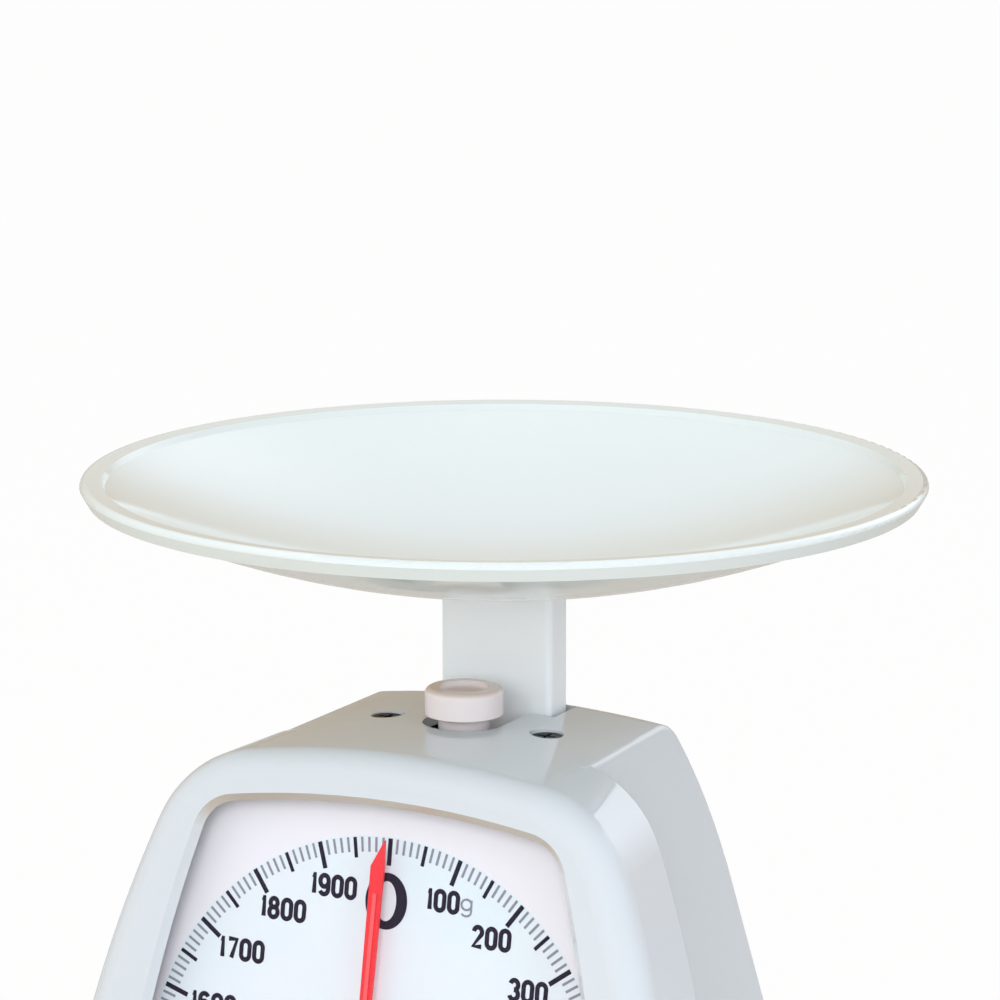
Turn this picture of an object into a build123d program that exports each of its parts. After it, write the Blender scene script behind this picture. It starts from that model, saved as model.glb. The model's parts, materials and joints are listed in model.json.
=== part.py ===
from build123d import *
import os
from math import asin, cos, degrees, pi, radians, sin, sqrt, tan

# Analogue kitchen scale with a round dish, a dial behind a window and a zero knob.
# Millimetres, +Z up, the front faces -Y and +X is on the right seen from the front.
# The origin is on the table, on the vertical axis of the dish.

# Overall sizes
housing_height = 161.0  # crown of the housing above the table
foot_height = 4.0  # gap between the table and the housing's lower edge
dish_diameter = 210.0
dish_rise = 58.0  # dish rim above the crown of the housing
capacity_travel = 12.7  # how far the dish sinks at full load

# Housing shell
wall = 2.8
crown_radius = 248.0  # gentle arch of the top, seen from the front
frame_half_width = 86.8  # widest point of the front frame
frame_side_radius = 320.0
frame_side_centre_z = 20.0
frame_corner_radius = 30.0
frame_draft = 1.5  # degrees, the frame's sides close in towards the back
frame_depth = 31.0
frame_back_round = 1.5
brow_radius = 8.0  # rounding between the front face and the frame's rim
body_half_width = 40.0  # rear body at the crown's height, on the dish's axis
body_side_draft = 9.7  # degrees
body_taper = 1.6  # degrees, the rear body narrows towards the back
body_rear_y = 35.4  # rear wall where its bulge ends
body_bulge_drop = 48.7  # from the crown down to the end of the bulge
body_bulge_radius = 118.0
body_rear_draft = 14.3  # degrees, below the bulge
body_bulge_arc = 30.0  # degrees the bulge turns, reaching above the crown
body_rear_round = 11.0
body_edge_round = 1.6
body_lap = 4.0  # how far the body reaches into the frame

# Dial face, tilted back about a level line through the dial's centre
face_tilt = 9.4  # degrees
dial_centre_y = -70.4
dial_drop = 82.0  # dial's centre below the crown of the housing
dial_depth = 7.5  # dial face behind the front face
dial_thickness = 1.2
dial_margin = 1.6  # dial board beyond the window's edge

# Window outline, measured from the dial's centre in the plane of the face
window_top = 72.1
window_sill = 10.0  # from the window's lower edge down to the housing's lower edge
window_arch_radius = 255.0
window_half_width = 67.6
window_side_radius = 389.0
window_side_drop = 54.0  # widest point of the window below the dial's centre
window_corner_radius = 12.0
window_bevel = 1.8
ledge = 1.8  # wall left in front of the lens
lens_thickness = 1.2
lens_lap = 3.0  # lens behind the ledge

# Openings and screws in the housing top
knob_y = -21.8
knob_radius = 9.7
knob_height = 7.0
knob_lift = 1.8  # underside of the knob above the crown
knob_neck_radius = 6.4
knob_shoulder = 1.6
knob_cup_radius = 6.1
knob_cup_depth = 2.0
knob_gap = 0.6  # round the knob in its opening
slot_side_gap = 1.75
slot_front_gap = 1.5
slot_rear_gap = 2.5
top_screw_x = 22.0
top_screw_y = -20.5
recess_radius = 4.2
recess_depth = 3.2
top_boss_radius = 5.6
top_boss_length = 11.0  # crown of the housing down to the mechanism's bridge

# Dish and its post
post_width = 30.6
post_depth = 10.0
post_corner_radius = 1.5
dish_depth = 27.0  # rim down to the top of the post
dish_bowl_radius = 234.3
dish_wall = 2.4
dish_flange = 6.2
lip_height = 4.6
lip_width = 2.0
lip_draft = 1.8
rim_round = 1.5
pad_height = 0.6  # flat seat under the bowl
tongue_width = 20.0
tongue_depth = 4.6
tongue_length = 11.0
tongue_gap = 0.25
tongue_end_gap = 0.6

# Sheet metal mechanism
sheet = 1.6
leg_x = 30.2  # inner face of the frame's legs
bridge_front_y = -37.0
bridge_rear_y = 11.0
leg_rear_y = 24.5
leg_shoulder = 26.0  # drop of the sloping rear edge below the bridge
leg_flange = 10.0
leg_front_flange = 8.0
movement_out = -31.0  # front face of the movement plate, measured from the dial face
movement_half_width = 35.0
movement_top = 41.0
movement_bottom = 45.0
movement_screw_inset = 6.0
moving_gap = 2.0  # round what moves through the bridge

# Load carriage
carriage_front_y = -8.0
carriage_half_width = 14.0
ear_x = 21.0  # outer face of the carriage's ears
ear_height = 18.0
ear_reach = 10.0
tab_half_width = 6.5
tab_reach = 6.2  # tab in front of the knob's axis

# Levers
lever_length = 33.0
lever_rear_y = 19.0
upper_lever_drop = 26.4  # rear pivot of the upper lever below the bridge
lever_spacing = 60.0
lever_arm_x = 21.4  # inner face of the lever's arms
lever_arm_radius = 4.0
crossbar_offset = 10.0
pin_radius = 1.5
running_gap = 0.06
slot_play = 0.15

# Springs
spring_x = 13.0
spring_radius = 4.5
spring_wire = 0.5  # wire radius
spring_turns = 20
spring_length = 38.0
spring_top_gap = 5.0  # bridge down to the upper end of the coil
plug_gap = 0.3
plug_engagement = 5.0
hanger_thickness = 3.0
hanger_half_width = 18.0
hanger_half_depth = 4.0
hanger_flat = 0.5  # half of the straight part of the hanger's ends
hanger_boss_radius = 5.0
hanger_boss_height = 4.0
hanger_gap = 0.7

# Zero screw
screw_radius = 2.0
screw_top_cover = 2.5  # knob material above the screw
screw_tail = 5.0
clip_radius = 4.0
clip_thickness = 0.8
seat_gap = 0.1

# Rack and pinion
pinion_teeth = 10
pinion_length = 5.5
pinion_out = -20.0
tooth_backlash = 0.16
tooth_flank = 20.0  # degrees
arbor_radius = 1.0
rack_back = 3.0  # rack bar behind its teeth
rack_thickness = 3.0
rack_spare_teeth = 2
rack_head = 7.4  # rack above its last tooth, up to its top end
rack_foot = 1.4
rack_pin_radius = 0.9
arm_width = 6.0
arm_height = 2.0
arm_tab_length = 8.0
guide_radius = 1.5
guide_gap = 0.15

# Pointer
pointer_out = 2.4  # back of the pointer in front of the dial face
pointer_thickness = 0.8
pointer_tip_gap = 4.1  # from the pointer's tip, turned down, to the window's lower edge
pointer_taper = 6.5
pointer_right = 0.3  # edges of the blade near its tip, from the middle line
pointer_left = -3.3
pointer_root_right = -1.2  # edges of the blade level with the arbor
pointer_root_left = -3.9
pointer_rib_half = 0.5
pointer_tail = 16.0
pointer_tail_half = 2.4
pointer_hub_radius = 6.5
pointer_rib = 0.35
cap_radius = 4.6
cap_height = 0.5

# Movement details
bridge_plate_out = -12.0
bridge_half_width = 22.0
bridge_half_height = 5.0
pillar_radius = 3.0
bridge_pillar_x = 18.0
dial_pillar_x = 30.0
bush_radius = 2.4
bush_flange_radius = 3.2
bush_flange = 0.6

# Base
base_thickness = 3.0
base_recess = 1.0
base_gap = 0.3
foot_radius = 6.0
foot_stud_radius = 2.6
foot_stud_head = 1.0
front_foot_x = 72.0
rear_foot_x = 48.0
rear_foot_y = 48.0
front_boss_y = -54.0
rear_boss_y = 20.0
boss_side = 10.0
boss_height = 12.0
boss_inset = 6.5
stop_radius = 6.0
stop_height = 3.0
stop_gap = 0.3

# Screws
small_shank = 1.5
small_head = 2.8
small_head_height = 1.6
large_shank = 1.7
large_head = 3.8
large_head_height = 1.6
screw_slot_width = 0.8
screw_slot_depth = 0.8
screw_bite = 6.0
screw_end = 1.0  # a screw or pin past the sheet it goes through

# Worked out from the sizes above
tilt = radians(face_tilt)
dial_centre_z = housing_height - dial_drop
window_bottom = (dial_centre_z - foot_height) / cos(tilt) - window_sill
pointer_length = window_bottom - pointer_tip_gap
dish_radius = dish_diameter / 2
rim_z = housing_height + dish_rise
post_top = rim_z - dish_depth
bridge_top = housing_height - top_boss_length
bridge_bottom = bridge_top - sheet
base_bottom = foot_height + base_recess
base_top = base_bottom + base_thickness
flange_bottom = bridge_top  # underside of the carriage's top flange, level with the bridge
flange_top = flange_bottom + sheet
upper_pivot_z = bridge_bottom - upper_lever_drop
lower_pivot_z = upper_pivot_z - lever_spacing
half_swing = asin(capacity_travel / 2 / lever_length)
lever_front_y = lever_rear_y - lever_length * cos(half_swing)
lever_front_rise = capacity_travel / 2
lever_drift = lever_length * (1 - cos(half_swing))
pitch_radius = capacity_travel * cos(tilt) / (2 * pi)
tooth_pitch = 2 * pi * pitch_radius / pinion_teeth
module = tooth_pitch / pi
carriage_bottom = base_top + stop_height + stop_gap + capacity_travel
spring_top = bridge_bottom - spring_top_gap
spring_bottom = spring_top - spring_length
plug_radius = spring_radius - spring_wire - plug_gap
hanger_top = spring_bottom - spring_wire - hanger_gap
hanger_bottom = hanger_top - hanger_thickness
screw_bottom = hanger_bottom - screw_tail + hanger_thickness
knob_bottom = housing_height + knob_lift
knob_top = knob_bottom + knob_height
far = 400.0  # larger than the whole object
nothing = 0.001

# Plane of the dial face: local x to the right, local y up the tilt, local z out to the viewer
face = Plane(origin=(0, dial_centre_y, dial_centre_z), x_dir=(1, 0, 0), z_dir=(0, -cos(tilt), sin(tilt)))
outward = Axis((0, 0, 0), (0, -cos(tilt), sin(tilt)))


def face_y(out, z):
    """Y of the plane parallel to the dial face at a distance in front of it, at height z."""
    return dial_centre_y + (sin(tilt) * (z - dial_centre_z) - out) / cos(tilt)


def box_between(x0, x1, y0, y1, z0, z1):
    """Box given by its limits."""
    centre = Pos((x0 + x1) / 2, (y0 + y1) / 2, (z0 + z1) / 2)
    return centre * Box(abs(x1 - x0), abs(y1 - y0), abs(z1 - z0))


def rod(x, y, z0, z1, radius):
    """Upright cylinder between two heights."""
    return Pos(x, y, (z0 + z1) / 2) * Cylinder(radius, abs(z1 - z0))


def out_rod(x, t, out0, out1, radius):
    """Cylinder square to the dial face."""
    return face * Pos(x, t, (out0 + out1) / 2) * Cylinder(radius, abs(out1 - out0))


def out_plate(outline, out0, out1):
    """Flat plate parallel to the dial face, from out0 forward to out1."""
    return extrude(face.offset(out0) * outline, out1 - out0)


def cross_rod(x0, x1, y, z, radius):
    """Cylinder along X."""
    return Pos((x0 + x1) / 2, y, z) * Rot(0, 90, 0) * Cylinder(radius, abs(x1 - x0))


def side_plate(outline, x0, x1):
    """Plate in the YZ plane between two X positions."""
    return Pos(x0, 0, 0) * extrude(Plane.YZ * outline, x1 - x0)


def both_sides(shape):
    """The shape and its mirror image across the middle plane."""
    return shape + mirror(shape, Plane.YZ)


def group(shapes):
    """Separate solids kept together in one sub-part."""
    return Compound(children=[solid for shape in shapes for solid in shape.solids()])


def screw(x, y, seat_z, direction, length, shank, head, head_height):
    """Upright screw whose head seats on seat_z; direction is -1 when it points down."""
    body = rod(x, y, seat_z, seat_z + direction * length, shank)
    body += rod(x, y, seat_z - direction * head_height, seat_z, head)
    slot_z = seat_z - direction * (head_height - screw_slot_depth / 2)
    for turn in (0, 90):
        slot = Box(head * 1.3, screw_slot_width, screw_slot_depth)
        body -= Pos(x, y, slot_z) * Rot(0, 0, turn) * slot
    return body


def out_screw(x, t, seat_out, length, shank, head, head_height):
    """Screw square to the dial face with its head towards the viewer."""
    body = out_rod(x, t, seat_out - length, seat_out, shank)
    body += out_rod(x, t, seat_out, seat_out + head_height, head)
    slot = Box(head * 3, screw_slot_width, screw_slot_depth)
    return body - face * Pos(x, t, seat_out + head_height - screw_slot_depth / 2) * slot


# Housing outlines

def crown_solid(inset, floor, half_width):
    """Everything above the floor and under the arched top, which is level from front to back."""
    arch = Pos(0, housing_height - crown_radius) * Circle(crown_radius - inset)
    arch &= Pos(0, floor + far / 2) * Rectangle(2 * half_width, far)
    return extrude(Plane.XZ * arch, far, both=True)


def frame_flank(side, inset):
    """Bowed side of the frame, closing in towards the back."""
    widest = (frame_side_centre_z - dial_centre_z) / cos(tilt)
    place = face * Pos(side * frame_half_width, widest, dial_depth - frame_depth / 2)
    place = place * Rot(0, side * frame_draft, 0) * Pos(-side * frame_side_radius, 0)
    return place * Cylinder(frame_side_radius - inset, far)


def frame_form(inset, floor):
    """Tilted slab with an arched top, bowed sides, round upper corners and a rounded brow."""
    block = crown_solid(inset, floor, 2 * frame_half_width) & frame_flank(1, inset) & frame_flank(-1, inset)
    middle_out = dial_depth - frame_depth / 2
    form = block & face * Pos(0, 0, middle_out) * Box(far, far, frame_depth - 2 * inset)
    corners = []
    for edge in form.edges():
        centre = edge.center()
        upper_corner = centre.Z > housing_height / 2 and abs(centre.X) > frame_half_width / 2
        off_middle = abs(face.to_local_coords(centre).Z - middle_out)
        if upper_corner and off_middle < frame_depth / 4:
            corners.append(edge)
    form = fillet(corners, frame_corner_radius - inset)
    rims = [(-1, brow_radius - inset)]
    if inset == 0:
        rims.append((0, frame_back_round))
    for place, radius in rims:
        rim = form.faces().sort_by(outward)[place]
        edges = [edge for edge in rim.edges() if edge.center().Z > floor + radius]
        form = fillet(edges, radius)
    return form


def body_section(y, inset, floor):
    """Drafted cross-section of the rear body at a distance behind the dish's axis."""
    spread = tan(radians(body_side_draft))
    half = body_half_width - y * tan(radians(body_taper)) - inset / cos(radians(body_side_draft))
    top_half = half - body_lap * spread
    low_half = half + (housing_height - floor) * spread
    high = housing_height + body_lap
    outline = Polyline((-low_half, floor), (low_half, floor), (top_half, high), (-top_half, high), close=True)
    return Plane.XZ.offset(-y) * make_face(outline)


def body_form(inset, floor):
    """Narrower rear body: drafted and tapered sides, a bulging back and a round upper corner."""
    front_y = face_y(dial_depth - frame_depth + inset + body_lap, floor)
    sides = loft([body_section(front_y, inset, floor), body_section(far / 4, inset, floor)], ruled=True)
    lean = radians(body_rear_draft)
    centre_y = body_rear_y - body_bulge_radius * cos(lean)
    centre_z = housing_height - body_bulge_drop - body_bulge_radius * sin(lean)
    radius = body_bulge_radius - inset

    def on_bulge(turn):
        return (centre_y + radius * cos(lean + turn), centre_z + radius * sin(lean + turn))

    low = on_bulge(0)
    high = on_bulge(radians(body_bulge_arc))
    floor_y = low[0] + (low[1] - floor) * tan(lean)
    ceiling_y = face_y(dial_depth - frame_depth + inset + body_lap, high[1])
    lines = [
        Polyline(high, (ceiling_y, high[1]), (front_y, floor), (floor_y, floor), low),
        ThreePointArc(low, on_bulge(radians(body_bulge_arc / 2)), high),
    ]
    body = extrude(Plane.YZ * make_face(lines), far, both=True) & sides
    body &= crown_solid(inset, floor, far)
    upper = [edge for edge in body.edges() if edge.center().Z > housing_height - body_bulge_drop / 2]
    rear = [edge for edge in upper if edge.center().Y > 0 and abs(edge.center().X) < 1]
    body = fillet(rear, body_rear_round - inset)
    if inset > 0:
        return body
    edges = []
    for flank in (body.faces().sort_by(Axis.X)[0], body.faces().sort_by(Axis.X)[-1]):
        upper = flank.edges().sort_by(lambda edge: edge.center().Z)[1:]
        edges += sorted(upper, key=lambda edge: edge.center().Y)[1:]
    return fillet(edges, body_edge_round)


def housing_form(inset, floor):
    return frame_form(inset, floor) + body_form(inset, floor)


def window_outline(grow):
    """Window seen square to the face, grown by the given amount."""
    top = Pos(0, window_top - window_arch_radius) * Circle(window_arch_radius)
    offset_x = window_side_radius - window_half_width
    right = Pos(-offset_x, -window_side_drop) * Rot(0, 0, 180) * Circle(window_side_radius)
    left = Pos(offset_x, -window_side_drop) * Circle(window_side_radius)
    above = Pos(0, far / 2 - window_bottom) * Rectangle(2 * far, far)
    outline = top & right & left & above
    corners = [v for v in outline.vertices() if abs(v.X) > window_half_width / 2]
    outline = fillet(corners, window_corner_radius)
    return offset(outline, grow) if grow else outline


def post_outline(grow):
    return RectangleRounded(post_width + 2 * grow, post_depth + 2 * grow, post_corner_radius + grow)


# Root body

def wing_y():
    """Middle of the hollow inside the frame's wings, at the base."""
    return face_y(dial_depth - frame_depth / 2, base_top)


def base_boss_places():
    """Centres of the base screws' bosses, beside the side walls."""
    spread = (housing_height - base_top) * tan(radians(body_side_draft))
    places = []
    for y in (front_boss_y, rear_boss_y):
        x = body_half_width - y * tan(radians(body_taper)) + spread - wall - boss_inset
        places += [(-x, y), (x, y)]
    return places


def make_housing(outer):
    """One moulded shell: front frame, window ledge, top openings and screw bosses."""
    shell = outer - housing_form(wall, -foot_height)
    # Boss under each top screw
    for side in (-1, 1):
        boss = rod(side * top_screw_x, top_screw_y, bridge_top, housing_height - wall / 2, top_boss_radius)
        shell += boss & outer
    # Bosses for the base screws, joined to the side walls
    half = boss_side / 2
    roof = base_top + boss_height
    for x, y in base_boss_places():
        side = 1 if x > 0 else -1
        root = x + side * (boss_inset + wall / 2)
        boss = box_between(x - side * half, root, y - half, y + half, base_top, roof)
        shell += boss & outer
    # Window with its bevel, and the seat of the lens behind the ledge
    low = face.offset(dial_depth - ledge) * window_outline(-window_bevel)
    high = face.offset(dial_depth + ledge) * window_outline(window_bevel)
    shell -= loft([low, high], ruled=True)
    opening_back = dial_depth - 2 * ledge - lens_thickness
    shell -= out_plate(window_outline(-window_bevel), opening_back, dial_depth - ledge / 2)
    pocket_back = dial_depth - ledge - 2 * lens_thickness - dial_thickness
    shell -= out_plate(window_outline(lens_lap - window_bevel), pocket_back, dial_depth - ledge)
    # Opening for the knob and the post
    hole_radius = knob_radius + knob_gap
    slot_front = -post_depth / 2 - slot_front_gap
    slot_rear = post_depth / 2 + slot_rear_gap
    hole = Pos(0, knob_y) * Circle(hole_radius)
    hole += Pos(0, (knob_y + slot_front) / 2) * Rectangle(2 * hole_radius, slot_front - knob_y)
    slot = RectangleRounded(post_width + 2 * slot_side_gap, slot_rear - slot_front, post_corner_radius)
    hole += Pos(0, (slot_front + slot_rear) / 2) * slot
    shell -= Pos(0, 0, bridge_top) * extrude(hole, far)
    # Recesses and holes of the top screws
    for side in (-1, 1):
        x = side * top_screw_x
        shell -= rod(x, top_screw_y, housing_height - recess_depth, far, recess_radius)
        shell -= rod(x, top_screw_y, bridge_bottom, far, large_shank)
    # Pilot holes of the base screws
    for x, y in base_boss_places():
        shell -= rod(x, y, base_top - nothing, base_top + screw_bite, small_shank)
    return shell


def foot_places():
    places = [(-front_foot_x, wing_y()), (front_foot_x, wing_y())]
    return places + [(-rear_foot_x, rear_foot_y), (rear_foot_x, rear_foot_y)]


def make_base_plate():
    """Flat cover inside the housing's lower edge."""
    plate = housing_form(wall + base_gap, -foot_height)
    plate = plate & box_between(-far, far, -far, far, base_bottom, base_top)
    for x, y in foot_places():
        plate -= rod(x, y, base_bottom, base_top, foot_stud_radius)
    for x, y in base_boss_places():
        plate -= rod(x, y, base_bottom, base_top, small_shank)
        plate -= rod(x, y, base_bottom, base_bottom + base_thickness / 2, small_head)
    for x, y in frame_screw_places():
        plate -= rod(x, y, base_bottom, base_top, small_shank)
    return plate


def make_feet():
    """Four rubber feet with a stud through the base plate."""
    feet = []
    for x, y in foot_places():
        foot = rod(x, y, 0, base_bottom, foot_radius)
        foot = chamfer(foot.faces().sort_by(Axis.Z)[0].edges(), foot_height / 5)
        foot += rod(x, y, base_bottom, base_top, foot_stud_radius)
        foot += rod(x, y, base_top, base_top + foot_stud_head, foot_stud_radius + foot_stud_head / 2)
        feet.append(foot)
    return group(feet)


def make_lens():
    """Clear plate seated behind the window's ledge."""
    outline = window_outline(lens_lap - window_bevel)
    return out_plate(outline, dial_depth - ledge - lens_thickness, dial_depth - ledge)


def make_dial_board():
    """Printed board behind the pointer, screwed to two pillars."""
    board = out_plate(window_outline(dial_margin), -dial_thickness, 0)
    board -= out_rod(0, 0, -dial_thickness, 0, 2 * arbor_radius)
    for side in (-1, 1):
        board -= out_rod(side * dial_pillar_x, 0, -dial_thickness, 0, small_shank)
    return board


def make_dial_screws():
    size = (dial_thickness + screw_bite, small_shank, small_head, small_head_height / 2)
    return group([out_screw(side * dial_pillar_x, 0, 0, *size) for side in (-1, 1)])


def make_base_screws():
    seat = base_bottom + base_thickness / 2
    length = base_thickness / 2 + screw_bite
    head = base_thickness / 2
    return group([screw(x, y, seat, 1, length, small_shank, small_head, head) for x, y in base_boss_places()])


def make_top_screws():
    """Two screws through the top of the housing into the mechanism's bridge."""
    seat = housing_height - recess_depth
    length = seat - bridge_bottom + screw_bite / 2
    size = (length, large_shank, large_head, large_head_height)
    return group([screw(side * top_screw_x, top_screw_y, seat, -1, *size) for side in (-1, 1)])


def frame_screw_places():
    x = leg_x + sheet + leg_flange / 2
    rows = (face_y(movement_out, base_top) + leg_flange, leg_rear_y - leg_flange)
    return [(side * x, y) for side in (-1, 1) for y in rows]


def bridge_cuts():
    """What the post, the carriage's flange and the knob's neck pass through."""
    front = knob_y - tab_reach - 2 * moving_gap
    rear = post_depth / 2 + slot_rear_gap
    plate_front = carriage_front_y - moving_gap
    tab_half = tab_half_width + moving_gap
    plate_half = carriage_half_width + moving_gap + sheet
    cut = box_between(-tab_half, tab_half, front, rear, bridge_bottom, bridge_top)
    return cut + box_between(-plate_half, plate_half, plate_front, rear, bridge_bottom, bridge_top)


def make_mechanism_frame():
    """Folded sheet frame: two legs, a bridge on top and flanges at the foot and front."""
    front_low = face_y(movement_out - sheet, base_top)
    plate_top_z = dial_centre_z + movement_top * cos(tilt) + (movement_out - sheet) * sin(tilt)
    front_high = face_y(movement_out - sheet, plate_top_z)
    outline = Polyline(
        (front_low, base_top),
        (leg_rear_y, base_top),
        (leg_rear_y, bridge_top - leg_shoulder),
        (bridge_rear_y, bridge_top),
        (bridge_front_y, bridge_top),
        (bridge_front_y, plate_top_z + leg_front_flange / 2),
        (front_high, plate_top_z),
        close=True,
    )
    outer_x = leg_x + sheet
    leg = side_plate(make_face(outline), leg_x, outer_x)
    leg += box_between(outer_x, outer_x + leg_flange, front_low, leg_rear_y, base_top, base_top + sheet)
    flange = Pos(leg_x - leg_front_flange / 2, (movement_top - movement_bottom) / 2)
    flange = flange * Rectangle(leg_front_flange + 2 * nothing, movement_top + movement_bottom)
    leg += out_plate(flange, movement_out - 2 * sheet, movement_out - sheet) & side_space(outer_x)
    frame = both_sides(leg)
    frame += box_between(-outer_x, outer_x, bridge_front_y, bridge_rear_y, bridge_bottom, bridge_top)
    frame -= bridge_cuts()
    for side in (-1, 1):
        frame -= rod(side * top_screw_x, top_screw_y, bridge_bottom, bridge_top, large_shank)
        frame -= rod(side * spring_x, knob_y, bridge_bottom, bridge_top, pin_radius)
    for z in (upper_pivot_z, lower_pivot_z):
        frame -= cross_rod(-outer_x, outer_x, lever_rear_y, z, pin_radius)
    for x, y in frame_screw_places():
        frame -= rod(x, y, base_top, base_top + sheet, small_shank)
    for x, t in movement_screw_places():
        frame -= out_rod(x, t, movement_out - 2 * sheet, movement_out - sheet, small_shank)
    return frame


def side_space(x):
    return box_between(-x, x, -far, far, base_top, bridge_top)


def make_frame_screws():
    seat = base_top + sheet
    size = (sheet + base_thickness, small_shank, small_head, small_head_height)
    return group([screw(x, y, seat, -1, *size) for x, y in frame_screw_places()])


def movement_screw_places():
    x = leg_x - leg_front_flange / 2
    rows = (movement_top - movement_screw_inset, movement_screw_inset - movement_bottom)
    return [(side * x, t) for side in (-1, 1) for t in rows]


def make_movement_plate():
    """Plate behind the dial that carries the pointer's arbor and the pillars."""
    size = Rectangle(2 * movement_half_width, movement_top + movement_bottom)
    plate = out_plate(Pos(0, (movement_top - movement_bottom) / 2) * size, movement_out - sheet, movement_out)
    plate -= out_rod(0, 0, movement_out - sheet, movement_out, bush_radius)
    plate -= arm_slot()
    for x, t in movement_screw_places():
        plate -= out_rod(x, t, movement_out - sheet, movement_out, small_shank)
    return plate


def arm_slot():
    """Room in the movement plate for the rack's arm over the whole travel."""
    x0 = rack_x() + rack_back - moving_gap
    x1 = rack_x() + rack_back + arm_width + 2 * moving_gap
    y = face_y(movement_out, arm_z())
    low = arm_z() - capacity_travel - moving_gap
    return box_between(x0, x1, y - 4 * sheet, y + 6 * sheet, low, arm_z() + arm_height + moving_gap)


def make_movement_screws():
    """Screws that hold the movement plate to the frame's front flanges."""
    size = (2 * sheet + screw_end, small_shank, small_head, small_head_height)
    return group([out_screw(x, t, movement_out, *size) for x, t in movement_screw_places()])


def make_lever_axles():
    """Fixed rear axles of the two levers, held in the legs."""
    reach = leg_x + sheet + screw_end
    pivots = (upper_pivot_z, lower_pivot_z)
    return group([cross_rod(-reach, reach, lever_rear_y, z, pin_radius) for z in pivots])


def make_arbor_bridge():
    """Small plate that holds the front bush of the pointer's arbor."""
    size = Rectangle(2 * bridge_half_width, 2 * bridge_half_height)
    plate = out_plate(size, bridge_plate_out - sheet, bridge_plate_out)
    plate -= out_rod(0, 0, bridge_plate_out - sheet, bridge_plate_out, bush_radius)
    for side in (-1, 1):
        plate -= out_rod(side * bridge_pillar_x, 0, bridge_plate_out - sheet, bridge_plate_out, small_shank)
    return plate


def make_bridge_screws():
    size = (sheet + screw_bite, small_shank, small_head, small_head_height)
    return group([out_screw(side * bridge_pillar_x, 0, bridge_plate_out, *size) for side in (-1, 1)])


def pillar(x, top_out):
    body = out_rod(x, 0, movement_out, top_out, pillar_radius)
    return body - out_rod(x, 0, top_out - screw_bite, top_out, small_shank)


def make_bridge_pillars():
    return group([pillar(side * bridge_pillar_x, bridge_plate_out - sheet) for side in (-1, 1)])


def make_dial_pillars():
    return group([pillar(side * dial_pillar_x, -dial_thickness) for side in (-1, 1)])


def make_bushes():
    """Flanged bushes of the arbor, one in each plate."""
    bushes = []
    for out in (bridge_plate_out, movement_out):
        bush = out_rod(0, 0, out - sheet, out, bush_radius)
        bush += out_rod(0, 0, out, out + bush_flange, bush_flange_radius)
        bush -= out_rod(0, 0, out - sheet, out + bush_flange, arbor_radius + running_gap)
        bushes.append(bush)
    return group(bushes)


def make_rack_guide():
    """Post behind the rack that keeps it in mesh."""
    x = rack_x() + rack_back + guide_gap + guide_radius
    return out_rod(x, 0, movement_out, pinion_out, guide_radius)


def make_spring(side):
    """Tension spring wound round a plug at each end."""
    start = spring_bottom + spring_wire
    length = spring_length - 2 * spring_wire
    path = Helix(pitch=length / spring_turns, height=length, radius=spring_radius)
    section = Plane(origin=path @ 0, z_dir=path % 0) * Circle(spring_wire)
    coil = sweep(section, path=path, is_frenet=True)
    return Pos(side * spring_x, knob_y, start) * coil


def make_spring_anchors():
    """Upper spring plugs, riveted in the bridge."""
    anchors = []
    for side in (-1, 1):
        x = side * spring_x
        anchor = rod(x, knob_y, spring_top - plug_engagement, bridge_bottom, plug_radius)
        anchor += rod(x, knob_y, bridge_bottom, bridge_top, pin_radius)
        anchor += rod(x, knob_y, bridge_top, bridge_top + sheet / 2, 2 * pin_radius)
        anchors.append(anchor)
    return group(anchors)


def make_overload_stop():
    """Rubber pad that the carriage meets just past full load."""
    return rod(0, carriage_front_y + sheet / 2, base_top, base_top + stop_height, stop_radius)


# Carriage body

def make_dish_post():
    """Hollow-topped post between the carriage and the dish."""
    post = Pos(0, 0, flange_top) * extrude(post_outline(0), post_top - flange_top)
    pocket = Rectangle(tongue_width + 2 * tongue_gap, tongue_depth + 2 * tongue_gap)
    depth = tongue_length + tongue_end_gap
    post -= Pos(0, 0, post_top - depth) * extrude(pocket, depth)
    for side in (-1, 1):
        post -= rod(side * post_screw_x(), 0, flange_top, flange_top + screw_bite, small_shank)
    return post


def post_screw_x():
    return carriage_half_width - 2 * small_head


def make_post_screws():
    size = (sheet + screw_bite, small_shank, small_head, small_head_height)
    return group([screw(side * post_screw_x(), 0, flange_bottom, 1, *size) for side in (-1, 1)])


def make_load_carriage():
    """Upright plate with a top flange, a tab for the zero screw and ears for the levers."""
    back = carriage_front_y + sheet
    front = carriage_front_y
    half = carriage_half_width
    tab_front = knob_y - tab_reach
    plate = box_between(-half, half, front, back, carriage_bottom, flange_top)
    plate += box_between(-half, half, front, post_depth / 2, flange_bottom, flange_top)
    plate += box_between(-tab_half_width, tab_half_width, tab_front, front, flange_bottom, flange_top)
    for pivot in (upper_pivot_z, lower_pivot_z):
        z = pivot + lever_front_rise
        low = z - ear_height / 2
        high = z + ear_height / 2
        plate += box_between(-ear_x, ear_x, front, back, low, high)
        for side in (-1, 1):
            plate += box_between(side * (ear_x - sheet), side * ear_x, front - ear_reach, back, low, high)
        # The pin needs play along Y, because the lever's end swings on an arc
        middle = lever_front_y - lever_drift / 2
        slot = SlotCenterToCenter(lever_drift + 2 * slot_play, 2 * (pin_radius + running_gap))
        plate -= side_plate(Pos(middle, z) * slot, -ear_x - sheet, ear_x + sheet)
    plate -= rod(0, knob_y, flange_bottom, flange_top, screw_radius + running_gap)
    for side in (-1, 1):
        plate -= rod(side * post_screw_x(), 0, flange_bottom, flange_top, small_shank)
    for x, z in arm_screw_places():
        plate -= Pos(x, carriage_front_y + sheet / 2, z) * Rot(90, 0, 0) * Cylinder(small_shank, sheet)
    return plate


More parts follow.
